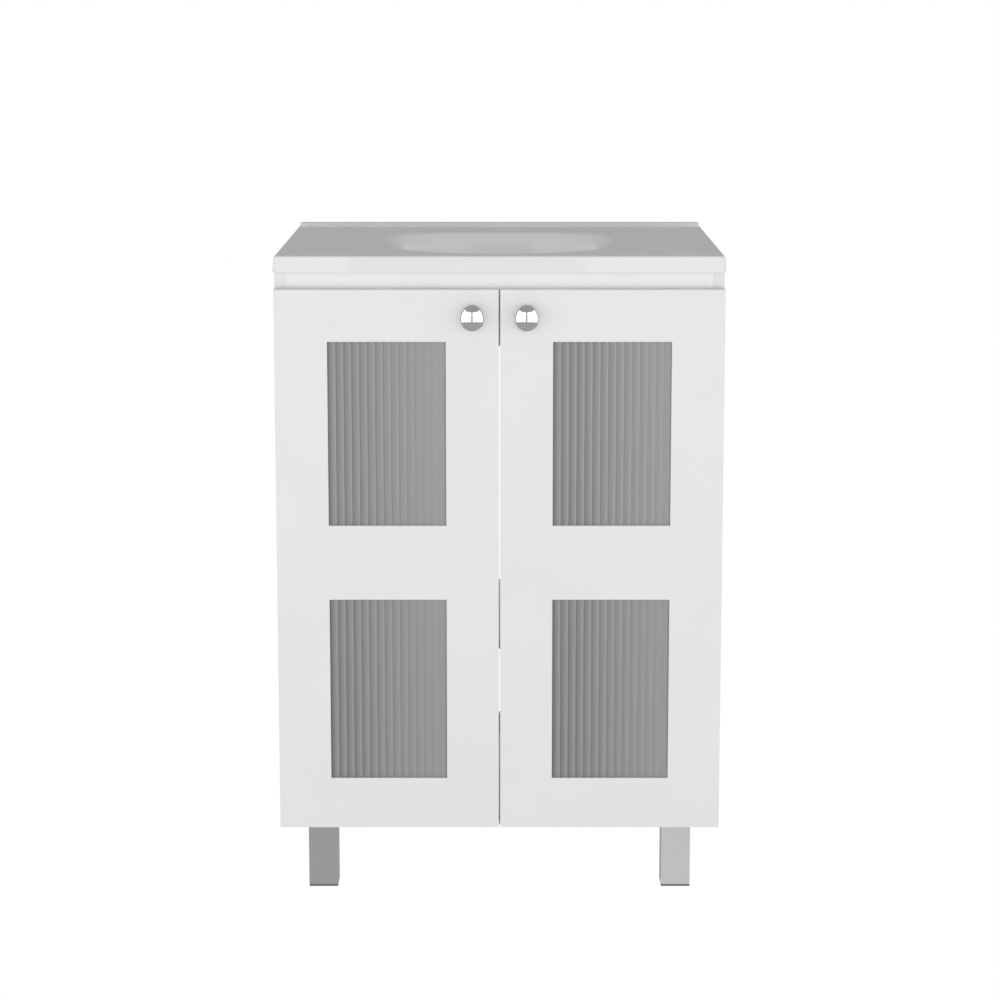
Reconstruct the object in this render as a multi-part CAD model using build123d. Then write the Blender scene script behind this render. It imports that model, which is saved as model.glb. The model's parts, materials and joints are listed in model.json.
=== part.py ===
from build123d import *
import math
import os

# Floor-standing bathroom vanity: a melamine box with an open back, a moulded basin top, two doors
# with reeded glass, concealed two-pivot hinges and four square legs.
# Frame: +X to the right, +Y to the back, +Z up, millimetres. The origin is on the floor, in the
# middle of the overall width and depth. The doors face -Y.

# ---------------------------------------------------------------- driving dimensions
cabinet_width = 600
cabinet_depth = 430
cabinet_floor_z = 100
cabinet_top_z = 864
board = 15
door_gap = 2
body_front_y = -199.5
body_back_y = body_front_y + cabinet_depth
inner_x = cabinet_width / 2 - board

front_rail_height = 100
back_rail_height = 100
low_rail_height = 45
shelf_z = 346
shelf_front_y = -189.5
shelf_depth = 378
shelf_side_gap = 0.5

door_back_y = body_front_y - door_gap
door_front_y = door_back_y - board
door_inner_x = 1
door_outer_x = 300
door_low_z = 101.5
door_high_z = 841.5

window_low_x = 71.5
window_high_x = 229.5
window_heights = {"lower": (171.5, 420.5), "upper": (522.5, 771.5)}
front_lip = 3
rebate = 10
pane_thickness = 5
pane_gap = 0.5
rib_count = 15
rib_height = 1.2
bead_gap = 0.2

knob_x = 36.25
knob_z = 803
knob_radius = 15.7
knob_crown = 1.22
knob_stem_radius = 6.5
knob_base_radius = 9
knob_front_y = -243.5
knob_screw_radius = 2

top_width = 603
top_front_y = door_front_y
top_back_y = 243.5
top_thickness = 22
top_draft_deg = 5.8
top_edge_radius = 3
deck_thickness = 12
upstand_height = 7
upstand_depth = 14
upstand_width = 592

bowl_y = -19
bowl_radius = 172.5
bowl_depth_ratio = 0.965
bowl_depth = 125
bowl_wall = 11
bowl_lip_radius = 24
bowl_corner_radius = 80
bowl_draft_deg = 10
bowl_flat_radius = 34
bowl_floor_fall = 1.5
bowl_squareness = 1.3
bowl_blend = 120
corner_steps = 6
lip_steps = 4
outline_points = 32
drain_radius = 22.5
knockout_radius = 17.5
knockout_y = 188.5
knockout_skin = 3

leg_size = 40
leg_wall = 1.5
leg_x = 245
leg_front_y = -144.5
leg_rear_y = 175.5
foot_height = 3
foot_plug = 12
leg_plate = 62
leg_plate_thickness = 2.5
leg_screw_spacing = 48
leg_screw_radius = 2

hinge_heights = {"lower": 201.5, "upper": 741.5}
cup_inset = 22.5
cup_outer_radius = 17.5
cup_inner_radius = 16.3
cup_depth = 11.5
cup_floor = 1.2
cup_ear_reach = 30
cup_ear_thickness = 1.2
arm_pivot = (28.05, 9.11)
cup_pivot = (12.06, 2.85)
hinge_pin_radius = 0.8
hinge_pin_fit = 0.05
link_eye_radius = 1.9
link_web = 2
link_half_width = 4
arm_ear_inner = 4.3
arm_ear_outer = 6.3
arm_half_thickness = 2.4
arm_length = 62
arm_top_u = 30.5
arm_low_u = 24
arm_half_width = 7.5
hinge_plate_front = 20
hinge_plate_back = 58
hinge_plate_half_height = 24
hinge_screw_radius = 1.75
hinge_screw_v = -37
cup_screw_offset = 9.5
cup_screw_z = 24

wall_hole_radius = 3
wall_hole_spacing = 420
wall_hole_z = 814

bumper_x = 24
bumper_radius = 4
bumper_heights = (108, 830)
bumper_thickness = door_gap - 0.1

# ---------------------------------------------------------------- shared helpers


def block(x_range, y_range, z_range):
    """A box between two values on each axis."""
    centre = [(low + high) / 2 for low, high in (x_range, y_range, z_range)]
    size = [high - low for low, high in (x_range, y_range, z_range)]
    return Pos(*centre) * Box(*size)


def rod(start, axis, length, radius, end_radius=None):
    """A cylinder, or a cone if end_radius is given, from a start point along X, Y or Z."""
    turns = {"x": Rot(0, 90, 0), "y": Rot(-90, 0, 0), "z": Rot(0, 0, 0)}
    align = (Align.CENTER, Align.CENTER, Align.MIN)
    if end_radius is None:
        shape = Cylinder(radius, abs(length), align=align)
    else:
        shape = Cone(radius, end_radius, abs(length), align=align)
    flip = Rot(180, 0, 0) if length < 0 else Rot(0, 0, 0)
    return Pos(*start) * turns[axis] * flip * shape


def both_sides(shape):
    """A shape and its mirror image across the middle of the cabinet."""
    return [shape, mirror(shape, about=Plane.YZ)]


def cut_all(shape, tools):
    """A shape less every tool."""
    for tool in tools:
        shape = shape - tool
    return shape


def save(name, shape):
    """Writes one node. A list is a group of separate solids."""
    if isinstance(shape, list):
        shape = Compound(children=shape)
    export_step(shape, f"parts/{name}.step")


# ---------------------------------------------------------------- board fittings
cam_radius = 7.5
cam_height = 12
cam_inset = 24
cam_bore_radius = 3.2
bolt_radius = 3
bolt_thread_radius = 2.5
bolt_thread_length = 10
dowel_radius = 4
dowel_half_length = 14
dowel_in_panel = 8
pin_in_panel = 8
fit = 0.05


class JointLine:
    """Cam locks and dowels along one board's two ends."""

    def __init__(self, cam_points, dowel_points, cam_axis, cam_sign, cam_face):
        self.cam_points = cam_points
        self.dowel_points = dowel_points
        self.cam_axis = cam_axis
        self.cam_sign = cam_sign
        self.cam_face = cam_face

    def cam(self, y, z, grow=0):
        """The lock in its pocket at the right-hand end, open on the board's hidden face."""
        x = inner_x - cam_inset
        length = self.cam_sign * (cam_height + grow)
        start = (x, y, self.cam_face) if self.cam_axis == "z" else (x, self.cam_face, z)
        return rod(start, self.cam_axis, length, cam_radius + grow)

    def locks(self):
        return [
            self.cam(y, z) - rod((inner_x - cam_inset, y, z), "x", 20, cam_bore_radius)
            for y, z in self.cam_points
        ]

    def bolts(self):
        made = []
        for y, z in self.cam_points:
            shaft = rod((inner_x - cam_inset + 2, y, z), "x", cam_inset - 2, bolt_radius)
            made.append(shaft + rod((inner_x, y, z), "x", bolt_thread_length, bolt_thread_radius))
        return made

    def dowels(self):
        return [
            rod((inner_x - dowel_half_length, y, z), "x", dowel_half_length + dowel_in_panel, dowel_radius)
            for y, z in self.dowel_points
        ]

    def holes(self):
        """What is cut from the boards for one end's fittings."""
        tools = [self.cam(y, z, fit) for y, z in self.cam_points]
        for y, z in self.cam_points:
            tools.append(rod((inner_x - cam_inset, y, z), "x", cam_inset, bolt_radius + fit))
            tools.append(rod((inner_x, y, z), "x", bolt_thread_length + fit, bolt_thread_radius + fit))
        for y, z in self.dowel_points:
            start = (inner_x - dowel_half_length - fit, y, z)
            length = dowel_half_length + dowel_in_panel + 2 * fit
            tools.append(rod(start, "x", length, dowel_radius + fit))
        return tools


floor_middle_z = cabinet_floor_z + board / 2
rail_middle_y = body_front_y + board / 2
back_middle_y = body_back_y - board / 2

joint_lines = {
    "bottom_panel": JointLine(
        [(-85, floor_middle_z), (115, floor_middle_z)], [(15, floor_middle_z)],
        "z", 1, cabinet_floor_z,
    ),
    "front_rail": JointLine(
        [(rail_middle_y, 790)], [(rail_middle_y, 835)], "y", -1, body_front_y + board,
    ),
    "back_rail_top": JointLine(
        [(back_middle_y, 790)], [(back_middle_y, 835)], "y", -1, body_back_y,
    ),
    "back_rail_low": JointLine(
        [], [(back_middle_y, 115), (back_middle_y, 132)], "y", -1, body_back_y,
    ),
}

# ---------------------------------------------------------------- hinge, one at a given height


def hinge_point(inward, forward, z):
    """A point by its distance in from the right-hand side and forward of the box's front edge."""
    return (cabinet_width / 2 - inward, body_front_y - forward, z)


def hinge_block(inward, forward, height):
    """A box given in the hinge's own inward and forward distances."""
    x_range = (cabinet_width / 2 - inward[1], cabinet_width / 2 - inward[0])
    y_range = (body_front_y - forward[1], body_front_y - forward[0])
    return block(x_range, y_range, height)


def hinge_plate(z):
    """The cross-shaped plate screwed to the side panel."""
    wings = hinge_block(
        (board, board + 3), (hinge_screw_v - 7, hinge_screw_v + 7),
        (z - hinge_plate_half_height, z + hinge_plate_half_height),
    )
    spine = hinge_block(
        (board, arm_low_u), (-hinge_plate_back, -hinge_plate_front), (z - 6, z + 6),
    )
    screws = [hinge_plate_screw(z, side, fit) for side in (-1, 1)]
    return cut_all(wings + spine, screws)


def hinge_plate_screw(z, side, grow=0):
    """A countersunk screw through one wing into the side panel, 16 mm off the middle."""
    x = cabinet_width / 2 - board - 3
    start = (x, body_front_y - hinge_screw_v, z + side * 16)
    head = rod(start, "x", 2.2, 3.4 + grow, hinge_screw_radius + grow)
    return head + rod(start, "x", 14 + grow, hinge_screw_radius + grow)


def hinge_arm(z):
    """The arm on the plate, forked at the front around the link's eye."""
    rear = hinge_block(
        (arm_low_u, arm_top_u), (-arm_length, -12), (z - arm_half_width, z + arm_half_width),
    )
    low_u = arm_pivot[0] - arm_half_thickness
    neck = hinge_block((low_u, arm_top_u), (-12, 5.4), (z - arm_ear_outer, z + arm_ear_outer))
    arm = rear + neck
    for side in (-1, 1):
        z_range = sorted((z + side * arm_ear_inner, z + side * arm_ear_outer))
        ear = hinge_block((low_u, arm_pivot[0] + arm_half_thickness), (5.4, arm_pivot[1]), z_range)
        tip = rod((0, 0, z_range[0]), "z", z_range[1] - z_range[0], arm_half_thickness)
        centre = hinge_point(*arm_pivot, 0)
        arm = arm + ear + Pos(*centre) * tip
    pin_hole = rod(hinge_point(*arm_pivot, z - 10), "z", 20, hinge_pin_radius)
    adjuster = rod(hinge_point(arm_top_u, -22, z), "x", 6, 2.6)
    fixing = rod(hinge_point(arm_top_u, -50, z), "x", 6, 2.6)
    return arm - pin_hole - adjuster - fixing


def arm_screws(z):
    """The side adjusting screw and the rear fixing screw, sunk in the arm."""
    return [rod(hinge_point(arm_top_u - 1, v, z), "x", 5, 2.6 - fit) for v in (-22, -50)]


def arm_pin(z):
    return rod(hinge_point(*arm_pivot, z - arm_ear_outer), "z", 2 * arm_ear_outer, hinge_pin_radius)


def cup_pin_half_length():
    """Half the length of the pin that spans the cup near its rim."""
    off_centre = cup_inset - cup_pivot[0]
    return math.sqrt(cup_outer_radius**2 - (off_centre + hinge_pin_radius) ** 2) - 0.2


def cup_pin(z):
    half = cup_pin_half_length()
    return rod(hinge_point(*cup_pivot, z - half), "z", 2 * half, hinge_pin_radius)


def hinge_link(z):
    """The short link between the arm's pin and the cup's pin, hollow at both eyes."""
    start = Vector(*arm_pivot)
    end = Vector(*cup_pivot)
    middle = (start + end) / 2
    run = end - start
    angle = math.degrees(math.atan2(run.Y, run.X))
    web = Pos(middle.X, middle.Y) * Rot(0, 0, angle) * Box(run.length, link_web, 2 * link_half_width)
    link = web
    for eye in (start, end):
        link = link + Pos(eye.X, eye.Y) * Cylinder(link_eye_radius, 2 * link_half_width)
    for eye in (start, end):
        hole = Cylinder(hinge_pin_radius + hinge_pin_fit, 2 * link_half_width + 2)
        link = link - Pos(eye.X, eye.Y) * hole
    # inward is -X and forward is -Y, so the outline is turned half a turn about Z
    return Pos(cabinet_width / 2, body_front_y, z) * Rot(0, 0, 180) * link


def cup_screw(z, side, grow=0):
    """A screw through one ear of the cup's flange into the door."""
    start = hinge_point(cup_inset + cup_screw_offset, door_gap - cup_ear_thickness, z + side * cup_screw_z)
    head = rod(start, "y", -1.2, 3.2 + grow, hinge_screw_radius + grow)
    return head + rod(start, "y", -(12 + grow), hinge_screw_radius + grow)


def hinge_cup(z):
    """The round cup sunk in the door's back, with two flange ears."""
    mouth = hinge_point(cup_inset, door_gap, z)
    cup = rod(mouth, "y", -cup_depth, cup_outer_radius)
    for side in (-1, 1):
        z_range = sorted((z + side * 9.5, z + side * cup_ear_reach))
        forward = (door_gap - cup_ear_thickness, door_gap)
        cup = cup + hinge_block((board + 2, cup_inset + 18), forward, z_range)
    cavity_start = hinge_point(cup_inset, door_gap - 5, z)
    cup = cup - rod(cavity_start, "y", -(5 + cup_depth - cup_floor), cup_inner_radius)
    pin_hole = rod(hinge_point(*cup_pivot, z - 20), "z", 40, hinge_pin_radius)
    return cut_all(cup - pin_hole, [cup_screw(z, side, fit) for side in (-1, 1)])


def cup_hole(z):
    """The door's blind hole for one cup and its screws."""
    hole = rod(hinge_point(cup_inset, door_gap, z), "y", -(cup_depth + fit), cup_outer_radius + fit)
    for side in (-1, 1):
        hole = hole + cup_screw(z, side, fit)
    return hole


# ---------------------------------------------------------------- cabinet boards
pin_radius = 2.5
pin_head_radius = 4
pin_head_length = 9
pin_points = [(y, shelf_z - pin_head_radius) for y in (-150, 150)]


def shelf_pin(y, z):
    """A shelf pin in the right-hand panel, with a wider head under the shelf."""
    stub = rod((inner_x, y, z), "x", pin_in_panel, pin_radius)
    return stub + rod((inner_x - pin_head_length, y, z), "x", pin_head_length, pin_head_radius)


def side_panel():
    """The right-hand side panel, with its fitting holes."""
    panel = block(
        (inner_x, cabinet_width / 2), (body_front_y, body_back_y), (cabinet_floor_z, cabinet_top_z)
    )
    for line in joint_lines.values():
        panel = cut_all(panel, line.holes())
    for y, z in pin_points:
        panel = panel - rod((inner_x, y, z), "x", pin_in_panel + fit, pin_radius + fit)
    for z in hinge_heights.values():
        panel = cut_all(panel, [hinge_plate_screw(z, side, fit) for side in (-1, 1)])
    return panel


def leg_positions():
    """Each leg's name and centre."""
    sides = {"left": -leg_x, "right": leg_x}
    rows = {"front": leg_front_y, "rear": leg_rear_y}
    return {f"{row}_{side}": (x, y) for row, y in rows.items() for side, x in sides.items()}


def leg_screw(x, y, grow=0):
    """A pan-head screw through a leg plate into the bottom panel."""
    plate_low_z = cabinet_floor_z - leg_plate_thickness
    shaft = rod((x, y, plate_low_z), "z", leg_plate_thickness + 11 + grow, leg_screw_radius + grow)
    return shaft if grow else shaft + rod((x, y, plate_low_z), "z", -1.8, 3.8)


def leg_screw_points(x, y):
    half = leg_screw_spacing / 2
    return [(x + dx, y + dy) for dx in (-half, half) for dy in (-half, half)]


def bottom_panel():
    panel = block(
        (-inner_x, inner_x), (body_front_y, body_back_y - board),
        (cabinet_floor_z, cabinet_floor_z + board),
    )
    for tool in joint_lines["bottom_panel"].holes():
        panel = cut_all(panel, both_sides(tool))
    for x, y in leg_positions().values():
        panel = cut_all(panel, [leg_screw(*point, fit) for point in leg_screw_points(x, y)])
    return panel


def rail(name, y_low, z_range):
    """A cross rail between the side panels."""
    made = block((-inner_x, inner_x), (y_low, y_low + board), z_range)
    for tool in joint_lines[name].holes():
        made = cut_all(made, both_sides(tool))
    return made


def back_rail_top():
    """The top rail at the back, with two holes for screwing the cabinet to a wall."""
    y_low = body_back_y - board
    made = rail("back_rail_top", y_low, (cabinet_top_z - back_rail_height, cabinet_top_z))
    for side in (-1, 1):
        start = (side * wall_hole_spacing / 2, y_low - 1, wall_hole_z)
        made = made - rod(start, "y", board + 2, wall_hole_radius)
    return made


def shelf():
    half = inner_x - shelf_side_gap
    return block((-half, half), (shelf_front_y, shelf_front_y + shelf_depth), (shelf_z, shelf_z + board))


# ---------------------------------------------------------------- legs


def leg(x, y):
    """A square tube with its fixing plate welded on."""
    plate_low_z = cabinet_floor_z - leg_plate_thickness
    tube = Pos(x, y) * block(*[(-leg_size / 2, leg_size / 2)] * 2, (foot_height, plate_low_z))
    inner = leg_size / 2 - leg_wall
    tube = tube - Pos(x, y) * block(*[(-inner, inner)] * 2, (foot_height - 1, plate_low_z))
    plate = Pos(x, y) * block(*[(-leg_plate / 2, leg_plate / 2)] * 2, (plate_low_z, cabinet_floor_z))
    plate = fillet(plate.edges().filter_by(Axis.Z), 5)
    return cut_all(tube + plate, [leg_screw(*point, fit) for point in leg_screw_points(x, y)])


def foot(x, y):
    """The plastic end cap under a leg, with a plug inside the tube."""
    half = leg_size / 2
    inner = half - leg_wall - fit
    cap = Pos(x, y) * block((-half, half), (-half, half), (0, foot_height))
    cap = chamfer(cap.faces().sort_by(Axis.Z)[0].edges(), 0.6)
    plug = Pos(x, y) * block((-inner, inner), (-inner, inner), (foot_height, foot_plug))
    hollow = Pos(x, y) * block((-inner + 2, inner - 2), (-inner + 2, inner - 2), (foot_height, foot_plug))
    return cap + (plug - hollow)


# ---------------------------------------------------------------- basin top


def bowl_levels(grow):
    """The bowl's half section, (radius, z) from the floor up: round corner, drafted wall and soft lip.

    Grown by the wall's thickness it is the outside of the bowl, which has no lip."""
    deck_z = cabinet_top_z + top_thickness
    sweep = math.radians(90 - bowl_draft_deg)
    lip_start_r = bowl_radius - bowl_lip_radius * math.sin(sweep)
    lip_start_z = deck_z - bowl_lip_radius * (1 - math.cos(sweep))
    corner_z = deck_z - bowl_depth + bowl_floor_fall
    corner_top_z = corner_z + bowl_corner_radius * (1 - math.cos(sweep))
    wall_run = (lip_start_z - corner_top_z) * math.tan(math.radians(bowl_draft_deg))
    corner_r = lip_start_r - wall_run - bowl_corner_radius * math.sin(sweep)
    levels = [(bowl_flat_radius, corner_z - bowl_floor_fall - grow)]
    for step in range(corner_steps + 1):
        turn = sweep * step / corner_steps
        radius = bowl_corner_radius + grow
        levels.append((corner_r + radius * math.sin(turn), corner_z - grow + radius * (1 - math.cos(turn))))
    if grow:
        return levels + [(lip_start_r + grow, deck_z - 5)]
    levels.append((lip_start_r, lip_start_z))
    for step in range(1, lip_steps + 1):
        turn = sweep * (1 - step / lip_steps)
        radius = bowl_radius - bowl_lip_radius * math.sin(turn)
        levels.append((radius, deck_z - bowl_lip_radius * (1 - math.cos(turn))))
    return levels


def bowl_outline(radius, z):
    """The bowl at one level: round by the drain, and at the rim oval in front and squarer behind."""
    share = min(max((radius - drain_radius) / bowl_blend, 0), 1)
    points = []
    for index in range(outline_points):
        turn = 2 * math.pi * index / outline_points
        across, along = math.cos(turn), math.sin(turn)
        power = 2 + (bowl_squareness * share if along > 0 else 0)
        reach = radius * (abs(across) ** power + abs(along) ** power) ** (-1 / power)
        depth_ratio = 1 + (bowl_depth_ratio - 1) * share
        points.append((reach * across, bowl_y + reach * along * depth_ratio, z))
    return Face(Wire([Spline(*points, periodic=True)]))


def bowl_solid(levels):
    """A smooth solid through the outlines at every level."""
    return loft([bowl_outline(radius, z) for radius, z in levels])


def vanity_top():
    """The moulded top: a slab hollow underneath, an upstand, the bowl and a blind recess for a faucet."""
    deck_z = cabinet_top_z + top_thickness
    middle_y = (top_front_y + top_back_y) / 2
    outline = Pos(0, middle_y, cabinet_top_z) * RectangleRounded(top_width, top_back_y - top_front_y, 5)
    slab = extrude(outline, top_thickness, taper=top_draft_deg)
    slab = fillet(slab.faces().sort_by(Axis.Z)[-1].edges(), top_edge_radius)
    upstand_back_y = top_back_y - top_thickness * math.tan(math.radians(top_draft_deg)) - 1
    upstand = Pos(0, upstand_back_y - upstand_depth / 2, deck_z - 4) * extrude(
        RectangleRounded(upstand_width, upstand_depth, 6.5), upstand_height + 4
    )
    upstand = fillet(upstand.faces().sort_by(Axis.Z)[-1].edges(), 2.5)
    hollow = block(
        (-inner_x + 2, inner_x - 2), (body_front_y + board + 4, body_back_y - board - 4),
        (cabinet_top_z - 1, deck_z - deck_thickness),
    )
    floor_z = deck_z - bowl_depth
    rim = extrude(bowl_outline(bowl_radius, deck_z), 2)
    top = slab + upstand - hollow + bowl_solid(bowl_levels(bowl_wall)) - bowl_solid(bowl_levels(0)) - rim
    top = top - rod((0, bowl_y, floor_z - 2 * bowl_wall), "z", 3 * bowl_wall, drain_radius)
    knockout_depth = 2 * deck_thickness - knockout_skin
    return top - rod((0, knockout_y, deck_z - 2 * deck_thickness), "z", knockout_depth, knockout_radius)


# ---------------------------------------------------------------- doors, made for the right-hand side


def door_leaf():
    """One board with two windows rebated from the back, and holes for hinges and the knob screw."""
    leaf = block((door_inner_x, door_outer_x), (door_front_y, door_back_y), (door_low_z, door_high_z))
    for low_z, high_z in window_heights.values():
        leaf = leaf - block(
            (window_low_x, window_high_x), (door_front_y - 1, door_back_y + 1), (low_z, high_z)
        )
        leaf = leaf - block(
            (window_low_x - rebate, window_high_x + rebate),
            (door_front_y + front_lip, door_back_y + 1), (low_z - rebate, high_z + rebate),
        )
    leaf = cut_all(leaf, [cup_hole(z) for z in hinge_heights.values()])
    return leaf - knob_screw(fit)


def pane(low_z, high_z):
    """A sheet of reeded glass: upright round ribs on the front, flat behind."""
    grow = rebate - pane_gap
    back_y = door_front_y + front_lip + pane_thickness
    valley_y = back_y - pane_thickness + rib_height
    window_width = window_high_x - window_low_x
    pitch = window_width / rib_count
    rib_radius = (pitch**2 / 4 + rib_height**2) / (2 * rib_height)
    z_range = (low_z - grow, high_z + grow)
    sheet = block((window_low_x - grow, window_high_x + grow), (valley_y, back_y), z_range)
    edge_y = back_y - pane_thickness
    for x_range in (
        (window_low_x - grow, window_low_x - 0.5), (window_high_x + 0.5, window_high_x + grow),
    ):
        sheet = sheet + block(x_range, (edge_y, valley_y), z_range)
    height = z_range[1] - z_range[0]
    for index in range(rib_count):
        x = window_low_x + (index + 0.5) * pitch
        rib = rod((x, edge_y + rib_radius, z_range[0]), "z", height, rib_radius)
        slot = block((x - pitch / 2, x + pitch / 2), (edge_y - 1, valley_y + 0.5), z_range)
        sheet = sheet + (rib & slot)
    return sheet


def glass_bead(low_z, high_z):
    """The loose frame that holds a pane in its rebate from behind."""
    grow = rebate - bead_gap
    y_range = (door_front_y + front_lip + pane_thickness, door_back_y)
    frame = block(
        (window_low_x - grow, window_high_x + grow), y_range, (low_z - grow, high_z + grow)
    )
    return frame - block(
        (window_low_x, window_high_x), (y_range[0] - 1, y_range[1] + 1), (low_z, high_z)
    )


def knob():
    """A ball drawn taller above its middle, on a tapered stem with a base, threaded from behind."""
    ball_y = knob_front_y + knob_radius
    reach = knob_radius * 2
    lower = Sphere(knob_radius) & block((-reach, reach), (-reach, reach), (-reach, 0))
    upper = Sphere(knob_radius) & block((-reach, reach), (-reach, reach), (0, reach))
    ball = Pos(knob_x, ball_y, knob_z) * (lower + scale(upper, by=(1, 1, knob_crown)))
    base = rod((knob_x, door_front_y, knob_z), "y", -2, knob_base_radius, knob_base_radius - 1)
    stem = rod((knob_x, door_front_y - 2, knob_z), "y", -6, knob_stem_radius + 1, knob_stem_radius)
    front = block((0, 100), (knob_front_y - 1, door_front_y), (knob_z - 50, knob_z + 50))
    body = (ball & front) + base + stem
    return body - rod((knob_x, door_front_y, knob_z), "y", -12, knob_screw_radius + fit)


def knob_screw(grow=0):
    """The countersunk machine screw that holds a knob from behind the door."""
    start = (knob_x, door_back_y, knob_z)
    head = rod(start, "y", -2.4, 4 + grow, knob_screw_radius + grow)
    return head + rod(start, "y", -(board + 9), knob_screw_radius + grow)


def bumper(z):
    """A soft stop pad stuck on the back of a door near its free edge."""
    return rod((bumper_x, door_back_y, z), "y", bumper_thickness, bumper_radius, bumper_radius - 0.6)


# ---------------------------------------------------------------- write every node


def save_cabinet():
    right_panel = side_panel()
    save("side_panel_right", right_panel)
    save("side_panel_left", mirror(right_panel, about=Plane.YZ))
    save("bottom_panel", bottom_panel())
    save("front_rail", rail("front_rail", body_front_y, (cabinet_top_z - front_rail_height, cabinet_top_z)))
    save("back_rail_top", back_rail_top())
    low_range = (cabinet_floor_z, cabinet_floor_z + low_rail_height)
    save("back_rail_low", rail("back_rail_low", body_back_y - board, low_range))
    save("shelf", shelf())
    save("shelf_pins", [pin for y, z in pin_points for pin in both_sides(shelf_pin(y, z))])
    groups = {"cam_locks": JointLine.locks, "cam_bolts": JointLine.bolts, "dowels": JointLine.dowels}
    for name, make in groups.items():
        made = [piece for line in joint_lines.values() for piece in make(line)]
        save(name, [copy for piece in made for copy in both_sides(piece)])
    save("vanity_top", vanity_top())


def save_legs():
    screws = []
    for name, (x, y) in leg_positions().items():
        save(f"leg_{name}", leg(x, y))
        save(f"foot_{name}", foot(x, y))
        screws += [leg_screw(*point) for point in leg_screw_points(x, y)]
    save("leg_screws", screws)


def save_door(side, place):
    """The pieces of one door and its hinges; place puts a right-hand piece on this side."""
    save(f"door_leaf_{side}", place(door_leaf()))
    for level, heights in window_heights.items():
        save(f"glass_pane_{side}_{level}", place(pane(*heights)))
        save(f"glass_bead_{side}_{level}", place(glass_bead(*heights)))
    save(f"knob_{side}", place(knob()))
    save(f"knob_screw_{side}", place(knob_screw()))
    save(f"door_bumpers_{side}", [place(bumper(z)) for z in bumper_heights])
    levels = hinge_heights.items()
    for level, z in levels:
        save(f"hinge_cup_{side}_{level}", place(hinge_cup(z)))
        save(f"hinge_link_{side}_{level}", place(hinge_link(z)))
        save(f"hinge_arm_{side}_{level}", place(hinge_arm(z)))
        save(f"hinge_plate_{side}_{level}", place(hinge_plate(z)))
    save(f"hinge_cup_pins_{side}", [place(cup_pin(z)) for z in hinge_heights.values()])
    cup_screws = [cup_screw(z, end) for z in hinge_heights.values() for end in (-1, 1)]
    save(f"hinge_cup_screws_{side}", [place(screw) for screw in cup_screws])


def save_hinge_fasteners():
    heights = hinge_heights.values()
    save("hinge_arm_pins", [pin for z in heights for pin in both_sides(arm_pin(z))])
    screws = [screw for z in heights for screw in arm_screws(z)]
    screws += [hinge_plate_screw(z, end) for z in heights for end in (-1, 1)]
    save("hinge_screws", [copy for screw in screws for copy in both_sides(screw)])


os.makedirs("parts", exist_ok=True)
save_cabinet()
save_legs()
save_door("right", lambda shape: shape)
save_door("left", lambda shape: mirror(shape, about=Plane.YZ))
save_hinge_fasteners()
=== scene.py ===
import json
import math

import bmesh
import bpy
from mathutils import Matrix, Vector

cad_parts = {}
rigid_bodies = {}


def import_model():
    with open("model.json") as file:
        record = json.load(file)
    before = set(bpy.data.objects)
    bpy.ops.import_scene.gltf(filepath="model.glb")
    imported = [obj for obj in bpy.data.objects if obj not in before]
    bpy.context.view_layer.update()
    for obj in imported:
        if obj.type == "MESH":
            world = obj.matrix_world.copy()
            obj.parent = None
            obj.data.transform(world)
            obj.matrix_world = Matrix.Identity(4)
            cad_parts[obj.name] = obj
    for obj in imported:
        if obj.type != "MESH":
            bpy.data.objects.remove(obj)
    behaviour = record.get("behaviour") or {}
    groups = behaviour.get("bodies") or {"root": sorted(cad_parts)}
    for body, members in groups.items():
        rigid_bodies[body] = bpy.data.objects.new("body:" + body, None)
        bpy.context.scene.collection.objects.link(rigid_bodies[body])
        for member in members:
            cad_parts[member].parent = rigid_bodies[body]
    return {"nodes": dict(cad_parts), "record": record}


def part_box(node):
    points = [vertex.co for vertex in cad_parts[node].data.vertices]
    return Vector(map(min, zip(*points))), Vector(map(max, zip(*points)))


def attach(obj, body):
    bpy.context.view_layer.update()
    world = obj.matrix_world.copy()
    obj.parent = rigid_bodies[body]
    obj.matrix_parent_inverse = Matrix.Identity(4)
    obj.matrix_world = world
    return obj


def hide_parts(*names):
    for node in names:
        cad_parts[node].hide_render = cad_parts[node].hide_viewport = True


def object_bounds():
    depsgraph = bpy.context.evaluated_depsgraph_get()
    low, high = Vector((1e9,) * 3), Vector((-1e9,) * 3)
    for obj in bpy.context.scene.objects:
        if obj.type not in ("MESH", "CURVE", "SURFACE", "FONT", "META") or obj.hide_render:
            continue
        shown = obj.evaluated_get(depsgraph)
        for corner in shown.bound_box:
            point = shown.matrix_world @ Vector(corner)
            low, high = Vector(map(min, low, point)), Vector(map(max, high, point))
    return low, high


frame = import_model()
cad_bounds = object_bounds()
nodes = frame["nodes"]
slots = {entry["node"]: entry["material_slot"] for entry in frame["record"]["subparts"]}

# ---------------------------------------------------------------- sizes used by looks and shapes
# Lengths are in metres, and angles in radians unless a name ends in _deg.
upstand_height = 0.007
pane_margin = 0.0098
ribs = 15

# ---------------------------------------------------------------- node material helpers
even = (1, 1, 1)


def new_material(name):
    """A node material with one shader: returns the material, its tree and the shader."""
    material = bpy.data.materials.new(name)
    material.use_nodes = True
    tree = material.node_tree
    return material, tree, tree.nodes["Principled BSDF"]


def add_node(tree, kind, **inputs):
    """A node with its unlinked inputs set by name."""
    node = tree.nodes.new(kind)
    for key, value in inputs.items():
        node.inputs[key.replace("_", " ")].default_value = value
    return node


def arithmetic(tree, operation, first, second=None):
    """A math node on links or plain numbers."""
    node = tree.nodes.new("ShaderNodeMath")
    node.operation = operation
    for socket, value in zip(node.inputs, (first, second)):
        if isinstance(value, (int, float)):
            socket.default_value = value
        elif value is not None:
            tree.links.new(value, socket)
    return node.outputs["Value"]


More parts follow.
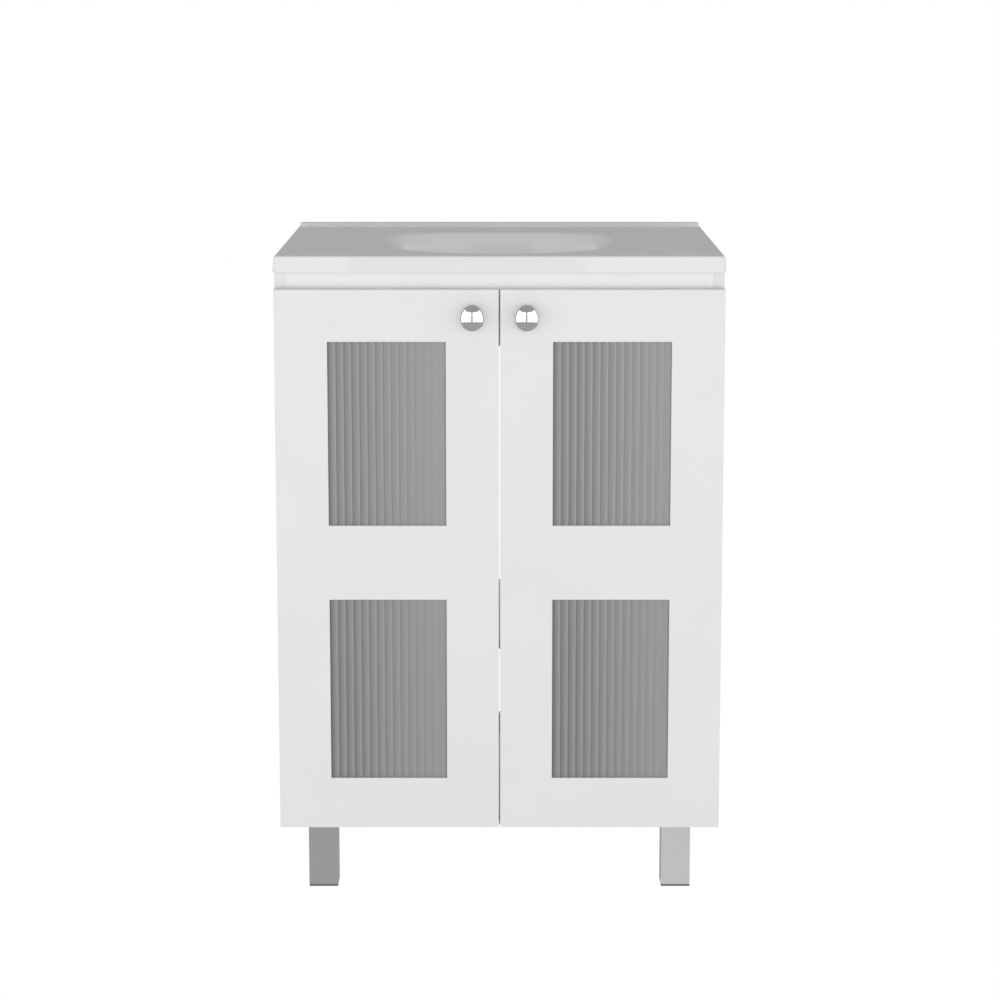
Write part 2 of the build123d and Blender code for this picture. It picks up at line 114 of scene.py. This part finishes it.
def part_of(tree, vector, axis):
    """One coordinate of a vector."""
    split = tree.nodes.new("ShaderNodeSeparateXYZ")
    tree.links.new(vector, split.inputs["Vector"])
    return split.outputs[axis]


def object_point(tree, stretch=even):
    """The point in the object's own space, stretched along its axes."""
    source = tree.nodes.new("ShaderNodeTexCoord")
    mapping = add_node(tree, "ShaderNodeMapping", Scale=stretch)
    tree.links.new(source.outputs["Object"], mapping.inputs["Vector"])
    return mapping.outputs["Vector"]


def noise(tree, size, detail=3, stretch=even):
    """Noise whose features are about size metres across."""
    node = add_node(tree, "ShaderNodeTexNoise", Scale=1 / size, Detail=detail, Roughness=0.55)
    tree.links.new(object_point(tree, stretch), node.inputs["Vector"])
    return node.outputs["Fac"]


def ranged(tree, value, low, high, from_low=0.3, from_high=0.7):
    """A value carried from one range to another; noise lies mostly between 0.3 and 0.7."""
    node = add_node(
        tree, "ShaderNodeMapRange",
        From_Min=from_low, From_Max=from_high, To_Min=low, To_Max=high,
    )
    tree.links.new(value, node.inputs["Value"])
    return node.outputs["Result"]


def blended(tree, value, first, second):
    """A colour between two, by a value from 0 to 1."""
    ramp = tree.nodes.new("ShaderNodeValToRGB")
    ramp.color_ramp.elements[0].color = (*first, 1)
    ramp.color_ramp.elements[1].color = (*second, 1)
    tree.links.new(value, ramp.inputs["Fac"])
    return ramp.outputs["Color"]


def bump(tree, shader, layers):
    """Stacks bump layers, each a (height, depth in metres) pair."""
    normal = None
    for height, depth in layers:
        node = add_node(tree, "ShaderNodeBump", Distance=depth, Strength=1)
        tree.links.new(height, node.inputs["Height"])
        if normal is not None:
            tree.links.new(normal, node.inputs["Normal"])
        normal = node.outputs["Normal"]
    tree.links.new(normal, shader.inputs["Normal"])


def surface(name, colours, roughness, spots, bumps, **settings):
    """The common build: two near colours in spots, smaller smudges of roughness, and fine bump.

    Spots is their size in metres, and each bump is a (feature size, depth, stretch) triple."""
    smudge_size = spots * 0.35
    material, tree, shader = new_material(name)
    mottle = ranged(tree, noise(tree, spots), 0, 1)
    tree.links.new(blended(tree, mottle, *colours), shader.inputs["Base Color"])
    smudge = ranged(tree, noise(tree, smudge_size, detail=4), *roughness)
    tree.links.new(smudge, shader.inputs["Roughness"])
    bump(tree, shader, [(noise(tree, size, 2, stretch), depth) for size, depth, stretch in bumps])
    for key, value in settings.items():
        shader.inputs[key.replace("_", " ")].default_value = value
    return material


# ---------------------------------------------------------------- materials


def glaze():
    """White gel coat: mirror smooth on the lip and in the bowl, satin on the deck. The deck and the
    upstand carry a darker white than the lip and the bowl: painted shade, as these faces take less
    light.
    """
    deck_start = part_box("vanity_top")[1].z - upstand_height - 0.0008
    deck_fade = 0.0015
    deck_roughness = 0.22
    mottle_share = 0.25
    # painted shade: the second white, used on the deck and the upstand, is darker than the lip's
    # white
    lip_white, deck_shaded_white = (0.84, 0.84, 0.832), (0.75, 0.75, 0.738)
    material, tree, shader = new_material("white_glaze")
    height = part_of(tree, object_point(tree), "Z")
    on_deck = ranged(tree, height, 0, 1, deck_start - deck_fade, deck_start)
    mottle = ranged(tree, noise(tree, 0.12), 0, 1)
    # random mottle mixed with the painted shade of the deck
    shade = arithmetic(
        tree, "ADD",
        arithmetic(tree, "MULTIPLY", mottle, mottle_share),
        arithmetic(tree, "MULTIPLY", on_deck, 1 - mottle_share),
    )
    tree.links.new(blended(tree, shade, lip_white, deck_shaded_white), shader.inputs["Base Color"])
    smudge = ranged(tree, noise(tree, 0.05, detail=4), 0.02, 0.05)
    satin = arithmetic(tree, "MULTIPLY", on_deck, deck_roughness)
    tree.links.new(arithmetic(tree, "ADD", smudge, satin), shader.inputs["Roughness"])
    bump(tree, shader, [(noise(tree, 0.04, detail=2), 0.00002)])
    return material


def reeded_glass():
    """Grey glass with painted shade: each rib is painted dark on its left and pale on its right, as
    if lit from the right, and the painted shade weakens towards the right of the pane.
    """
    pale_grey = (0.328, 0.330, 0.328)
    material, tree, shader = new_material("grey_reeded_glass")
    source = tree.nodes.new("ShaderNodeTexCoord")
    low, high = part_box("glass_pane_left_lower")
    margin = pane_margin / (high.x - low.x)
    pane_x = part_of(tree, source.outputs["Generated"], "X")
    across = ranged(tree, pane_x, 0, 1, margin, 1 - margin)
    in_rib = arithmetic(tree, "FRACT", arithmetic(tree, "MULTIPLY", across, ribs))
    # painted shade: the tone at each rib's dark edge, deep at the left of the pane and faint at the
    # right
    painted_rib_shade = ranged(tree, across, 0.52, 0.95, 0.2, 1.0)
    step = arithmetic(tree, "MULTIPLY", in_rib, arithmetic(tree, "SUBTRACT", 1, painted_rib_shade))
    # painted shade lifted to the pale grey across each rib
    painted_rib_tone = arithmetic(tree, "ADD", painted_rib_shade, step)
    tree.links.new(blended(tree, painted_rib_tone, (0, 0, 0), pale_grey), shader.inputs["Base Color"])
    smudge = ranged(tree, noise(tree, 0.03, detail=2), 0.24, 0.27)
    tree.links.new(smudge, shader.inputs["Roughness"])
    bump(tree, shader, [(noise(tree, 0.02, detail=1), 0.00002)])
    shader.inputs["IOR"].default_value = 1.5
    return material


def board(name, dark, pale):
    """Foil-covered board: satin, with a fine grain over soft waves."""
    return surface(
        name, ((dark,) * 3, (pale,) * 3), roughness=(0.40, 0.50), spots=0.09,
        bumps=[(0.0011, 0.00003, even), (0.006, 0.00005, even)], Specular_IOR_Level=0.35,
    )


def make_materials():
    """Every material by the record's slot name, and a paler copy of the board white, which only
    scene.py needs: it paints light into the front rail in the shade under the lip.
    """
    return {
        "white_board": board("white_satin_board", 0.785, 0.80),
        # painted light: a paler board white that brightens the front rail in the shade under the
        # lip
        "rail_painted_light": board("rail_board_painted_light", 0.875, 0.89),
        "glazed_top": glaze(),
        "reeded_glass": reeded_glass(),
        "chrome": surface(
            "polished_chrome",
            ((0.86, 0.86, 0.87), (0.90, 0.90, 0.90)), roughness=(0.02, 0.05), spots=0.01,
            bumps=[(0.0006, 0.0000008, even)], Metallic=1,
        ),
        "satin_aluminium": surface(
            "satin_aluminium",
            ((0.775, 0.775, 0.775), (0.79, 0.79, 0.79)), roughness=(0.24, 0.26), spots=0.03,
            bumps=[(0.0012, 0.0000015, (1, 1, 0.03))], Metallic=1, Anisotropic=0.3,
        ),
        "dark_plastic": surface(
            "moulded_dark_plastic",
            ((0.11, 0.11, 0.112), (0.135, 0.135, 0.136)), roughness=(0.50, 0.62), spots=0.02,
            bumps=[(0.0004, 0.00002, even)],
        ),
        "plated_steel": surface(
            "nickel_plated_steel",
            ((0.455, 0.447, 0.435), (0.482, 0.474, 0.460)), roughness=(0.24, 0.29), spots=0.04,
            bumps=[(0.005, 0.000002, even)], Metallic=1,
        ),
        "zinc": surface(
            "die_cast_zinc",
            ((0.425, 0.433, 0.440), (0.452, 0.460, 0.468)), roughness=(0.40, 0.45), spots=0.03,
            bumps=[(0.004, 0.000004, even)], Metallic=1,
        ),
        "clear_rubber": surface(
            "clear_soft_pad",
            ((0.72, 0.72, 0.70), (0.78, 0.78, 0.77)), roughness=(0.25, 0.35), spots=0.004,
            bumps=[(0.0005, 0.000005, even)], Transmission_Weight=0.5, IOR=1.45,
        ),
        "beech": surface(
            "beech_dowel",
            ((0.56, 0.38, 0.22), (0.68, 0.50, 0.32)), roughness=(0.55, 0.7), spots=0.004,
            bumps=[(0.0008, 0.00004, (0.08, 1, 1))],
        ),
    }


materials = make_materials()


def assign_cad_materials():
    """Gives every CAD node the material of its record slot."""
    for name, node in nodes.items():
        node.data.materials.clear()
        node.data.materials.append(materials[slots[name]])


# ---------------------------------------------------------------- mesh helpers


def add_piece(name, mesh, body, slot, replaced):
    """Puts a finished mesh in the scene, with its body, its slot and the CAD node it stands for."""
    piece = bpy.data.objects.new(name, mesh)
    bpy.context.scene.collection.objects.link(piece)
    mesh.materials.append(materials[slot])
    mesh.shade_smooth()
    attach(piece, body)
    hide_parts(replaced)


def mesh_from_rings(name, rings, closed=False):
    """A skin over equal rings of points: a tube closed on itself, or one capped at both ends."""
    bm = bmesh.new()
    rows = [[bm.verts.new(point) for point in ring] for ring in rings]
    for row, following in zip(rows, rows[1:] + rows[:1] if closed else rows[1:]):
        for index in range(len(row)):
            after = (index + 1) % len(row)
            bm.faces.new((row[index], row[after], following[after], following[index]))
    if not closed:
        bm.faces.new(list(reversed(rows[0])))
        bm.faces.new(rows[-1])
    bmesh.ops.recalc_face_normals(bm, faces=bm.faces)
    mesh = bpy.data.meshes.new(name)
    bm.to_mesh(mesh)
    bm.free()
    return mesh


def join_mesh(mesh, other):
    """Adds the second mesh's faces to the first."""
    bm = bmesh.new()
    bm.from_mesh(mesh)
    bm.from_mesh(other)
    bm.to_mesh(mesh)
    bm.free()
    bpy.data.meshes.remove(other)


def on_circle(centre, radius, turn_deg):
    """The point of a circle at an angle."""
    turn = math.radians(turn_deg)
    return (centre[0] + radius * math.cos(turn), centre[1] + radius * math.sin(turn))


def arc(centre, radius, start_deg, end_deg, steps):
    """Points round an arc in a plane, ends included."""
    turns = [start_deg + (end_deg - start_deg) * step / steps for step in range(steps + 1)]
    return [on_circle(centre, radius, turn) for turn in turns]


def rounded_rectangle(x_range, y_range, radius, corner_steps, side_steps):
    """Points anticlockwise round a rectangle with round corners, from the high x, low y corner."""
    (x0, x1), (y0, y1) = x_range, y_range
    corners = [
        ((x1 - radius, y0 + radius), -90), ((x1 - radius, y1 - radius), 0),
        ((x0 + radius, y1 - radius), 90), ((x0 + radius, y0 + radius), 180),
    ]
    points = []
    for index, (centre, turn) in enumerate(corners):
        points += arc(centre, radius, turn, turn + 90, corner_steps)
        following, following_turn = corners[(index + 1) % len(corners)]
        start = Vector(points[-1])
        end = Vector(on_circle(following, radius, following_turn))
        points += [tuple(start.lerp(end, step / side_steps)) for step in range(1, side_steps)]
    return points


# ---------------------------------------------------------------- boards, doors and legs
same_point = 0.00001
flat_angle = 0.01
sharp_angle = 0.9
board_rounding, board_shortest = 0.0007, 0.012
leg_rounding, leg_shortest = 0.0006, 0.02


def soft_edged(name, body, width, shortest):
    """The CAD piece again, with its sharp edges longer than shortest rounded by width."""
    node = nodes[name]
    bm = bmesh.new()
    bm.from_mesh(node.data)
    bm.transform(node.matrix_world)
    bmesh.ops.remove_doubles(bm, verts=bm.verts, dist=same_point)
    bmesh.ops.dissolve_limit(bm, angle_limit=flat_angle, verts=bm.verts, edges=bm.edges)
    sharp = [
        edge for edge in bm.edges
        if edge.is_manifold
        and edge.calc_face_angle() > sharp_angle
        and edge.calc_length() > shortest
    ]
    bmesh.ops.bevel(
        bm, geom=sharp, offset=width, segments=2, profile=0.5, affect="EDGES", clamp_overlap=True,
    )
    bmesh.ops.triangulate(bm, faces=[face for face in bm.faces if len(face.verts) > 4])
    bmesh.ops.dissolve_degenerate(bm, dist=same_point, edges=bm.edges)
    mesh = bpy.data.meshes.new(f"soft_{name}")
    bm.to_mesh(mesh)
    bm.free()
    add_piece(f"soft_{name}", mesh, body, slots[name], name)
    mesh.shade_flat()


def soft_boards():
    """The boards, door leaves and legs with soft edges; the front rail gets a paler white, painted
    light in the shade under the lip.
    """
    boards = [
        "side_panel_left", "side_panel_right", "bottom_panel", "front_rail", "back_rail_top",
        "back_rail_low", "shelf",
    ]
    for name in boards:
        soft_edged(name, "cabinet", board_rounding, board_shortest)
    for side in ("left", "right"):
        soft_edged(f"door_leaf_{side}", f"door_{side}", board_rounding, board_shortest)
        for end in ("front", "rear"):
            soft_edged(f"leg_{end}_{side}", "cabinet", leg_rounding, leg_shortest)
    # painted light: the front rail's paler white
    bpy.data.objects["soft_front_rail"].data.materials[0] = materials["rail_painted_light"]


# ---------------------------------------------------------------- basin top
top_corner = 0.005
ring_corner_steps, ring_side_steps = 6, 40
lip_draft = math.tan(math.radians(5.8))
edge_radius = 0.003
edge_turns_deg = (75, 60, 45, 30, 15, 0)
# share of the lip's draft, and drop, where the lip starts below the rounded edge
lip_start_share, lip_start_drop = 0.70, 0.0012
# (inset, height above the cabinet) down the rounded foot of the lip
lip_foot = ((0.0006, 0.0030), (0.0001, 0.0008), (0.0004, 0.0002), (0.0012, 0))
deck_thickness = 0.012
deck_shares = (0.04, 0.15, 0.35, 0.6, 0.85, 0.97)
hollow_corner = 0.004
hollow_gap_x, hollow_gap_y = 0.002, 0.004

bowl_setback = 0.1975
bowl_radius = 0.1725
bowl_ratio = 0.965
bowl_squareness = 1.3
bowl_blend = 0.12
bowl_depth = 0.125
bowl_wall = 0.011
bowl_lip_radius = 0.024
bowl_corner_radius = 0.080
bowl_lip_steps, bowl_corner_steps = 14, 18
bowl_draft_deg = 10
# (inset, drop) from the foot of the bowl's lip to rings on its wall
wall_rings = ((0.004, 0.023), (0.002, 0.011))
# (inset from the rim, depth below the deck) of the bowl's outside where it meets the deck
bowl_shoulder = ((0.0125, deck_thickness), (0.0145, 0.022))
floor_start, floor_radius = 0.026, 0.034
floor_fall, floor_half_fall = 0.0015, 0.0007
drain_radius = 0.0225
# (radius beyond the drain's, drop below the floor) round the drain's soft edge
drain_rings = ((0, 0.0015), (0.0012, 0.0002))

upstand_depth = 0.014
upstand_inset = 0.0055
upstand_corner_steps, upstand_side_steps = 8, 60


def bowl_section(grow=0):
    """The bowl's half section as (radius, height from the deck) pairs, from the floor to the rim.

    Grown by the wall's thickness it is the bowl's outside, which ends where the wall starts."""
    sweep = math.radians(90 - bowl_draft_deg)
    lip_x = bowl_radius - bowl_lip_radius * math.sin(sweep)
    lip_drop = bowl_lip_radius * (1 - math.cos(sweep))
    corner_depth = bowl_depth - floor_fall
    wall_drop = corner_depth - lip_drop - bowl_corner_radius * (1 - math.cos(sweep))
    wall_run = wall_drop * math.tan(math.radians(bowl_draft_deg))
    corner_x = lip_x - wall_run - bowl_corner_radius * math.sin(sweep)
    section = [(radius, -bowl_depth - grow) for radius in (floor_start, floor_radius)]
    section.append(((floor_radius + corner_x) / 2, -corner_depth - floor_half_fall - grow))
    corner_centre = (corner_x, -corner_depth + bowl_corner_radius)
    corner_radius = bowl_corner_radius + grow
    section += arc(corner_centre, corner_radius, -90, -bowl_draft_deg, bowl_corner_steps)
    if not grow:
        section += [(lip_x - inset, -lip_drop - drop) for inset, drop in wall_rings]
        lip_centre = (bowl_radius, -bowl_lip_radius)
        section += arc(lip_centre, bowl_lip_radius, 180 - bowl_draft_deg, 90, bowl_lip_steps)
    return section


def basin_top():
    """The moulded top as one closed skin: bowl, deck, drafted lip, hollow underside."""
    low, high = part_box("vanity_top")
    deck_z = high.z - upstand_height
    base_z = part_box("side_panel_left")[1].z
    centre_y = low.y + bowl_setback
    top_inset = (deck_z - base_z) * lip_draft

    def square(inset, z):
        """The outline of the top at one level."""
        ring = rounded_rectangle(
            (low.x + inset, high.x - inset), (low.y + inset, high.y - inset),
            max(top_corner - inset * 0.5, 0.001), ring_corner_steps, ring_side_steps,
        )
        return [(x, y, z) for x, y in ring]

    directions = [math.atan2(y - centre_y, x) for x, y, z in square(0, deck_z)]

    def oval(radius, z):
        """The bowl at one level: round at the drain, oval at the rim and squarer at its back."""
        share = min(max((radius - drain_radius) / bowl_blend, 0), 1)
        depth_ratio = 1 + (bowl_ratio - 1) * share
        points = []
        for turn in directions:
            across, along = math.cos(turn), math.sin(turn)
            power = 2 + (bowl_squareness * share if along > 0 else 0)
            reach = radius * (abs(across) ** power + abs(along) ** power) ** (-1 / power)
            points.append((reach * across, centre_y + reach * along * depth_ratio, z))
        return points

    def between(first, second, share):
        """A ring a share of the way from one ring to another."""
        return [tuple(Vector(a).lerp(Vector(b), share)) for a, b in zip(first, second)]

    rings = [oval(drain_radius + out, deck_z - bowl_depth - drop) for out, drop in drain_rings]
    rings += [oval(radius, deck_z + height) for radius, height in bowl_section()]
    rim = oval(bowl_radius, deck_z)
    deck_edge = square(top_inset + edge_radius, deck_z)
    rings += [between(rim, deck_edge, share) for share in deck_shares]
    rings.append(deck_edge)
    for turn in edge_turns_deg:
        out = edge_radius * math.cos(math.radians(turn))
        drop = edge_radius * (1 - math.sin(math.radians(turn)))
        rings.append(square(top_inset + edge_radius - out - drop * lip_draft, deck_z - drop))
    rings.append(square(top_inset * lip_start_share, deck_z - edge_radius - lip_start_drop))
    rings += [square(inset, base_z + height) for inset, height in lip_foot]
    body_low, body_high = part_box("bottom_panel")
    front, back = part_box("front_rail")[1].y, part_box("back_rail_top")[0].y
    hollow = rounded_rectangle(
        (body_low.x + hollow_gap_x, body_high.x - hollow_gap_x),
        (front + hollow_gap_y, back - hollow_gap_y),
        hollow_corner, ring_corner_steps, ring_side_steps,
    )
    rings += [[(x, y, z) for x, y in hollow] for z in (base_z, deck_z - deck_thickness)]
    rings += [oval(bowl_radius - inset, deck_z - depth) for inset, depth in bowl_shoulder]
    outside = bowl_section(grow=bowl_wall)
    rings += [oval(radius, deck_z + height) for radius, height in reversed(outside)]
    rings.append(oval(drain_radius, deck_z - bowl_depth - bowl_wall))
    mesh = mesh_from_rings("basin_top", rings, closed=True)
    join_mesh(mesh, upstand_mesh(deck_z, high.y - top_inset - 0.001))
    add_piece("basin_top", mesh, "cabinet", "glazed_top", "vanity_top")
    mesh.set_sharp_from_angle(angle=math.radians(38))


def upstand_mesh(deck_z, back_y):
    """The low ledge along the back edge: round ends, soft top, and a small flare at its foot."""
    low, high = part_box("vanity_top")
    x_range = (low.x + upstand_inset, high.x - upstand_inset)
    y_range = (back_y - upstand_depth, back_y)
    most_y = high.y - 0.0016
    end_radius = 0.0065
    end_growth = 0.9
    flare, flare_sink = 0.0030, 0.0008
    round_over = 0.0012
    cap_inset = 0.002
    turns = (0.2, 0.4, 0.6, 0.8, 1.0, 1.2, 1.4, math.pi / 2)
    sections = [(flare, -flare_sink)]
    sections += [(flare * (1 - math.sin(turn)), flare * (1 - math.cos(turn))) for turn in turns]
    sections += [
        (-round_over * (1 - math.cos(turn)), upstand_height - round_over * (1 - math.sin(turn)))
        for turn in (0, *turns)
    ]
    sections.append((-round_over - cap_inset, upstand_height))
    rings = []
    for out, rise in sections:
        ring = rounded_rectangle(
            (x_range[0] - out, x_range[1] + out), (y_range[0] - out, y_range[1] + out),
            end_radius + out * end_growth, upstand_corner_steps, upstand_side_steps,
        )
        rings.append([(x, min(y, most_y), deck_z + rise) for x, y in ring])
    return mesh_from_rings("upstand", rings)


# ---------------------------------------------------------------- knobs
knob_segments = 128
knob_tip_radius = 0.00004
knob_turns = [math.radians(step * 2.5) for step in range(1, 54)]
# (radius, distance from the door) of the knob's flat base
knob_base = ((0.0070, 0.0016), (0.0088, 0.0012), (0.0090, 0.0008), (0.0090, 0))


def turned_mesh(name, profile, segments):
    """A closed skin turned about the y axis: profile is (radius, distance along y) pairs."""
    turns = [2 * math.pi * index / segments for index in range(segments)]
    rings = [
        [(radius * math.cos(turn), along, radius * math.sin(turn)) for turn in turns]
        for radius, along in profile
    ]
    return mesh_from_rings(name, rings)


def knob(side):
    """A chrome ball drawn taller above its middle, on a flat base."""
    low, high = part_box(f"knob_{side}")
    radius = (high.x - low.x) / 2
    crown = (high.z - low.z) / radius - 1
    place = Vector(((low.x + high.x) / 2, low.y + radius, low.z + radius))
    rear = high.y - place.y
    profile = [(knob_tip_radius, -radius)]
    profile += [(radius * math.sin(turn), -radius * math.cos(turn)) for turn in knob_turns]
    profile += [(base_radius, rear - gap) for base_radius, gap in knob_base]
    mesh = turned_mesh(f"ball_knob_{side}", profile, knob_segments)
    for vertex in mesh.vertices:
        if vertex.co.z > 0:
            vertex.co.z *= crown
        vertex.co += place
    add_piece(f"ball_knob_{side}", mesh, f"door_{side}", "chrome", f"knob_{side}")
    mesh.set_sharp_from_angle(angle=math.radians(50))


# ---------------------------------------------------------------- reeded glass
rib_height = 0.0008
rib_steps = 12
rib_lean = 1.6
rib_fullness = 0.8


def reeded_pane(side, level):
    """A sheet with upright round ribs in front between two plain margins, and a flat back."""
    node = f"glass_pane_{side}_{level}"
    low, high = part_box(node)
    first, last = low.x + pane_margin, high.x - pane_margin
    pitch = (last - first) / ribs
    front, back = low.y, high.y
    outline = [(low.x, front)]
    for index in range(ribs):
        for step in range(rib_steps):
            share = step / rib_steps
            rise = math.sin(math.pi * share**rib_lean) ** rib_fullness
            outline.append((first + (index + share) * pitch, front + rib_height * (1 - rise)))
    outline += [(last, front + rib_height), (high.x, front), (high.x, back), (low.x, back)]
    rings = [[(x, y, z) for x, y in outline] for z in (low.z, high.z)]
    mesh = mesh_from_rings(f"reeded_{side}_{level}", rings)
    add_piece(f"reeded_pane_{side}_{level}", mesh, f"door_{side}", "reeded_glass", node)
    mesh.set_sharp_from_angle(angle=math.radians(60))


# ---------------------------------------------------------------- floor and world
room_grey = 0.33
sky_fill = 0.57
ground_fill = 0.82
floor_grey = 0.37


def ray_kind(tree, kind):
    """1 for rays of one kind, such as camera or glossy, and 0 for the others."""
    return tree.nodes.new("ShaderNodeLightPath").outputs[f"Is {kind} Ray"]


def mixed_shader(tree, switch, first, second):
    """The first shader where the switch is 0, the second where it is 1."""
    mix = tree.nodes.new("ShaderNodeMixShader")
    tree.links.new(switch, mix.inputs["Fac"])
    tree.links.new(first, mix.inputs[1])
    tree.links.new(second, mix.inputs[2])
    return mix.outputs["Shader"]


def glow(tree, strength):
    """A white emission shader."""
    node = add_node(tree, "ShaderNodeEmission", Color=(1, 1, 1, 1), Strength=strength)
    return node.outputs["Emission"]


def make_floor():
    """A pale floor: white to look at, a soft fill from below, and mid grey in reflections."""
    size = 40
    mesh = bpy.data.meshes.new("floor")
    corners = [(-size, -size, 0), (size, -size, 0), (size, size, 0), (-size, size, 0)]
    mesh.from_pydata(corners, [], [(0, 1, 2, 3)])
    floor = bpy.data.objects.new("floor", mesh)
    bpy.context.scene.collection.objects.link(floor)
    material, tree, shader = new_material("pale_floor")
    fill, mirrored = glow(tree, ground_fill), glow(tree, floor_grey)
    soft = mixed_shader(tree, ray_kind(tree, "Glossy"), fill, mirrored)
    final = mixed_shader(tree, ray_kind(tree, "Camera"), soft, glow(tree, 1))
    tree.nodes.remove(shader)
    tree.links.new(final, tree.nodes["Material Output"].inputs["Surface"])
    mesh.materials.append(material)


def make_world():
    """White behind the object, a soft sky fill, and a plain grey room in reflections."""
    world = bpy.data.worlds.new("studio")
    bpy.context.scene.world = world
    world.use_nodes = True
    tree = world.node_tree
    fill = tree.nodes["Background"]
    fill.inputs["Color"].default_value = (sky_fill, sky_fill, sky_fill, 1)
    room = add_node(tree, "ShaderNodeBackground", Color=(room_grey, room_grey, room_grey, 1))
    white = add_node(tree, "ShaderNodeBackground", Color=(1, 1, 1, 1))
    soft = mixed_shader(tree, ray_kind(tree, "Glossy"), fill.outputs[0], room.outputs[0])
    final = mixed_shader(tree, ray_kind(tree, "Camera"), soft, white.outputs[0])
    tree.links.new(final, tree.nodes["World Output"].inputs["Surface"])


# ---------------------------------------------------------------- lights
wall_glow = 1.2
# how far the front ends of the walls stay from the middle
wall_gap_left, wall_gap_right = 0.335, 0.187
leg_glow = 0.28
leg_card_size = 0.7


def mirror_wall(name, side, gap):
    """A white wall round one side that only reflections see, highest in front and lowest behind."""
    low, high = cad_bounds
    # (distance from the middle, y, height) from the front end to the rear end
    course = [
        (gap, low.y - 2.3, 3.6), (1.5, low.y - 1.75, 3.8),
        (2.3, low.y - 0.4, 3.0), (2.1, high.y + 1.8, 2.4),
    ]
    corners = [(side * x, y, 0) for x, y, height in course]
    corners += [(side * x, y, height) for x, y, height in course]
    last = len(course)
    faces = [(index, index + 1, last + index + 1, last + index) for index in range(last - 1)]
    mesh = bpy.data.meshes.new(name)
    mesh.from_pydata(corners, [], faces)
    wall = bpy.data.objects.new(name, mesh)
    bpy.context.scene.collection.objects.link(wall)
    material, tree, shader = new_material(name)
    tree.nodes.remove(shader)
    tree.links.new(glow(tree, wall_glow), tree.nodes["Material Output"].inputs["Surface"])
    mesh.materials.append(material)
    wall.visible_camera = False
    wall.visible_diffuse = False
    wall.visible_transmission = False
    wall.visible_shadow = False


def soft_light(name, place, width, height, radiance):
    """A soft rectangular light aimed at the object, not seen in reflections."""
    low, high = cad_bounds
    data = bpy.data.lights.new(name, "AREA")
    data.shape = "RECTANGLE"
    data.size = width
    data.size_y = height
    data.energy = radiance * math.pi * width * height
    light = bpy.data.objects.new(name, data)
    bpy.context.scene.collection.objects.link(light)
    light.location = place
    aim = (low + high) / 2 - light.location
    aim.z = 0
    light.rotation_euler = aim.to_track_quat("-Z", "Y").to_euler()
    light.visible_camera = False
    light.visible_glossy = False


def leg_card():
    """A glowing card on the floor that only the right-hand legs reflect."""
    data = bpy.data.lights.new("leg_card", "AREA")
    data.size = leg_card_size
    data.energy = leg_glow * math.pi * data.size**2
    light = bpy.data.objects.new("leg_card", data)
    bpy.context.scene.collection.objects.link(light)
    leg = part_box("leg_front_right")[0]
    light.location = (leg.x + 0.1, leg.y - 0.32, 0.003)
    light.rotation_euler = (math.pi, 0, 0)
    light.visible_camera = False
    light.visible_diffuse = False
    receivers = bpy.data.collections.new("right_legs")
    for end in ("front", "rear"):
        receivers.objects.link(bpy.data.objects[f"soft_leg_{end}_right"])
    light.light_linking.receiver_collection = receivers


def make_lights():
    """Two white walls with a narrow gap between them for reflections, soft lights for the rest."""
    mirror_wall("mirror_wall_left", -1, wall_gap_left)
    mirror_wall("mirror_wall_right", 1, wall_gap_right)
    for name, x in (("left_light", -1.45), ("right_light", 1.45)):
        soft_light(name, (x, -2.0, 0.78), width=2.9, height=1.7, radiance=0.885)
    soft_light("back_light", (0, 3.2, 1.1), width=3, height=2.2, radiance=0.5)
    leg_card()


# ---------------------------------------------------------------- camera
lens_mm, sensor_mm = 97.6, 36
lens_shift = -0.06
camera_x, camera_z = 0.0007, 1.233
camera_distance = 3.5505
camera_dip_deg = 9.42


def make_camera():
    """A long lens in front and above, tipped down so that the deck shows."""
    data = bpy.data.cameras.new("camera")
    data.sensor_width = sensor_mm
    data.lens = lens_mm
    data.shift_y = lens_shift
    camera = bpy.data.objects.new("camera", data)
    bpy.context.scene.collection.objects.link(camera)
    camera.location = (camera_x, cad_bounds[0].y - camera_distance, camera_z)
    camera.rotation_euler = (math.radians(90 - camera_dip_deg), 0, 0)
    bpy.context.scene.camera = camera


# ---------------------------------------------------------------- the whole scene


def leave_out_of_reflections():
    """Hides the object's pieces from reflections, which then show the studio alone.

    It is called before the floor and the walls are made, because those are reflected."""
    for thing in bpy.context.scene.objects:
        if thing.type == "MESH":
            thing.visible_glossy = False


assign_cad_materials()
soft_boards()
basin_top()
for side in ("left", "right"):
    knob(side)
    for level in ("lower", "upper"):
        reeded_pane(side, level)
leave_out_of_reflections()
make_floor()
make_world()
make_lights()
make_camera()
bpy.context.scene.view_settings.view_transform = "Standard"
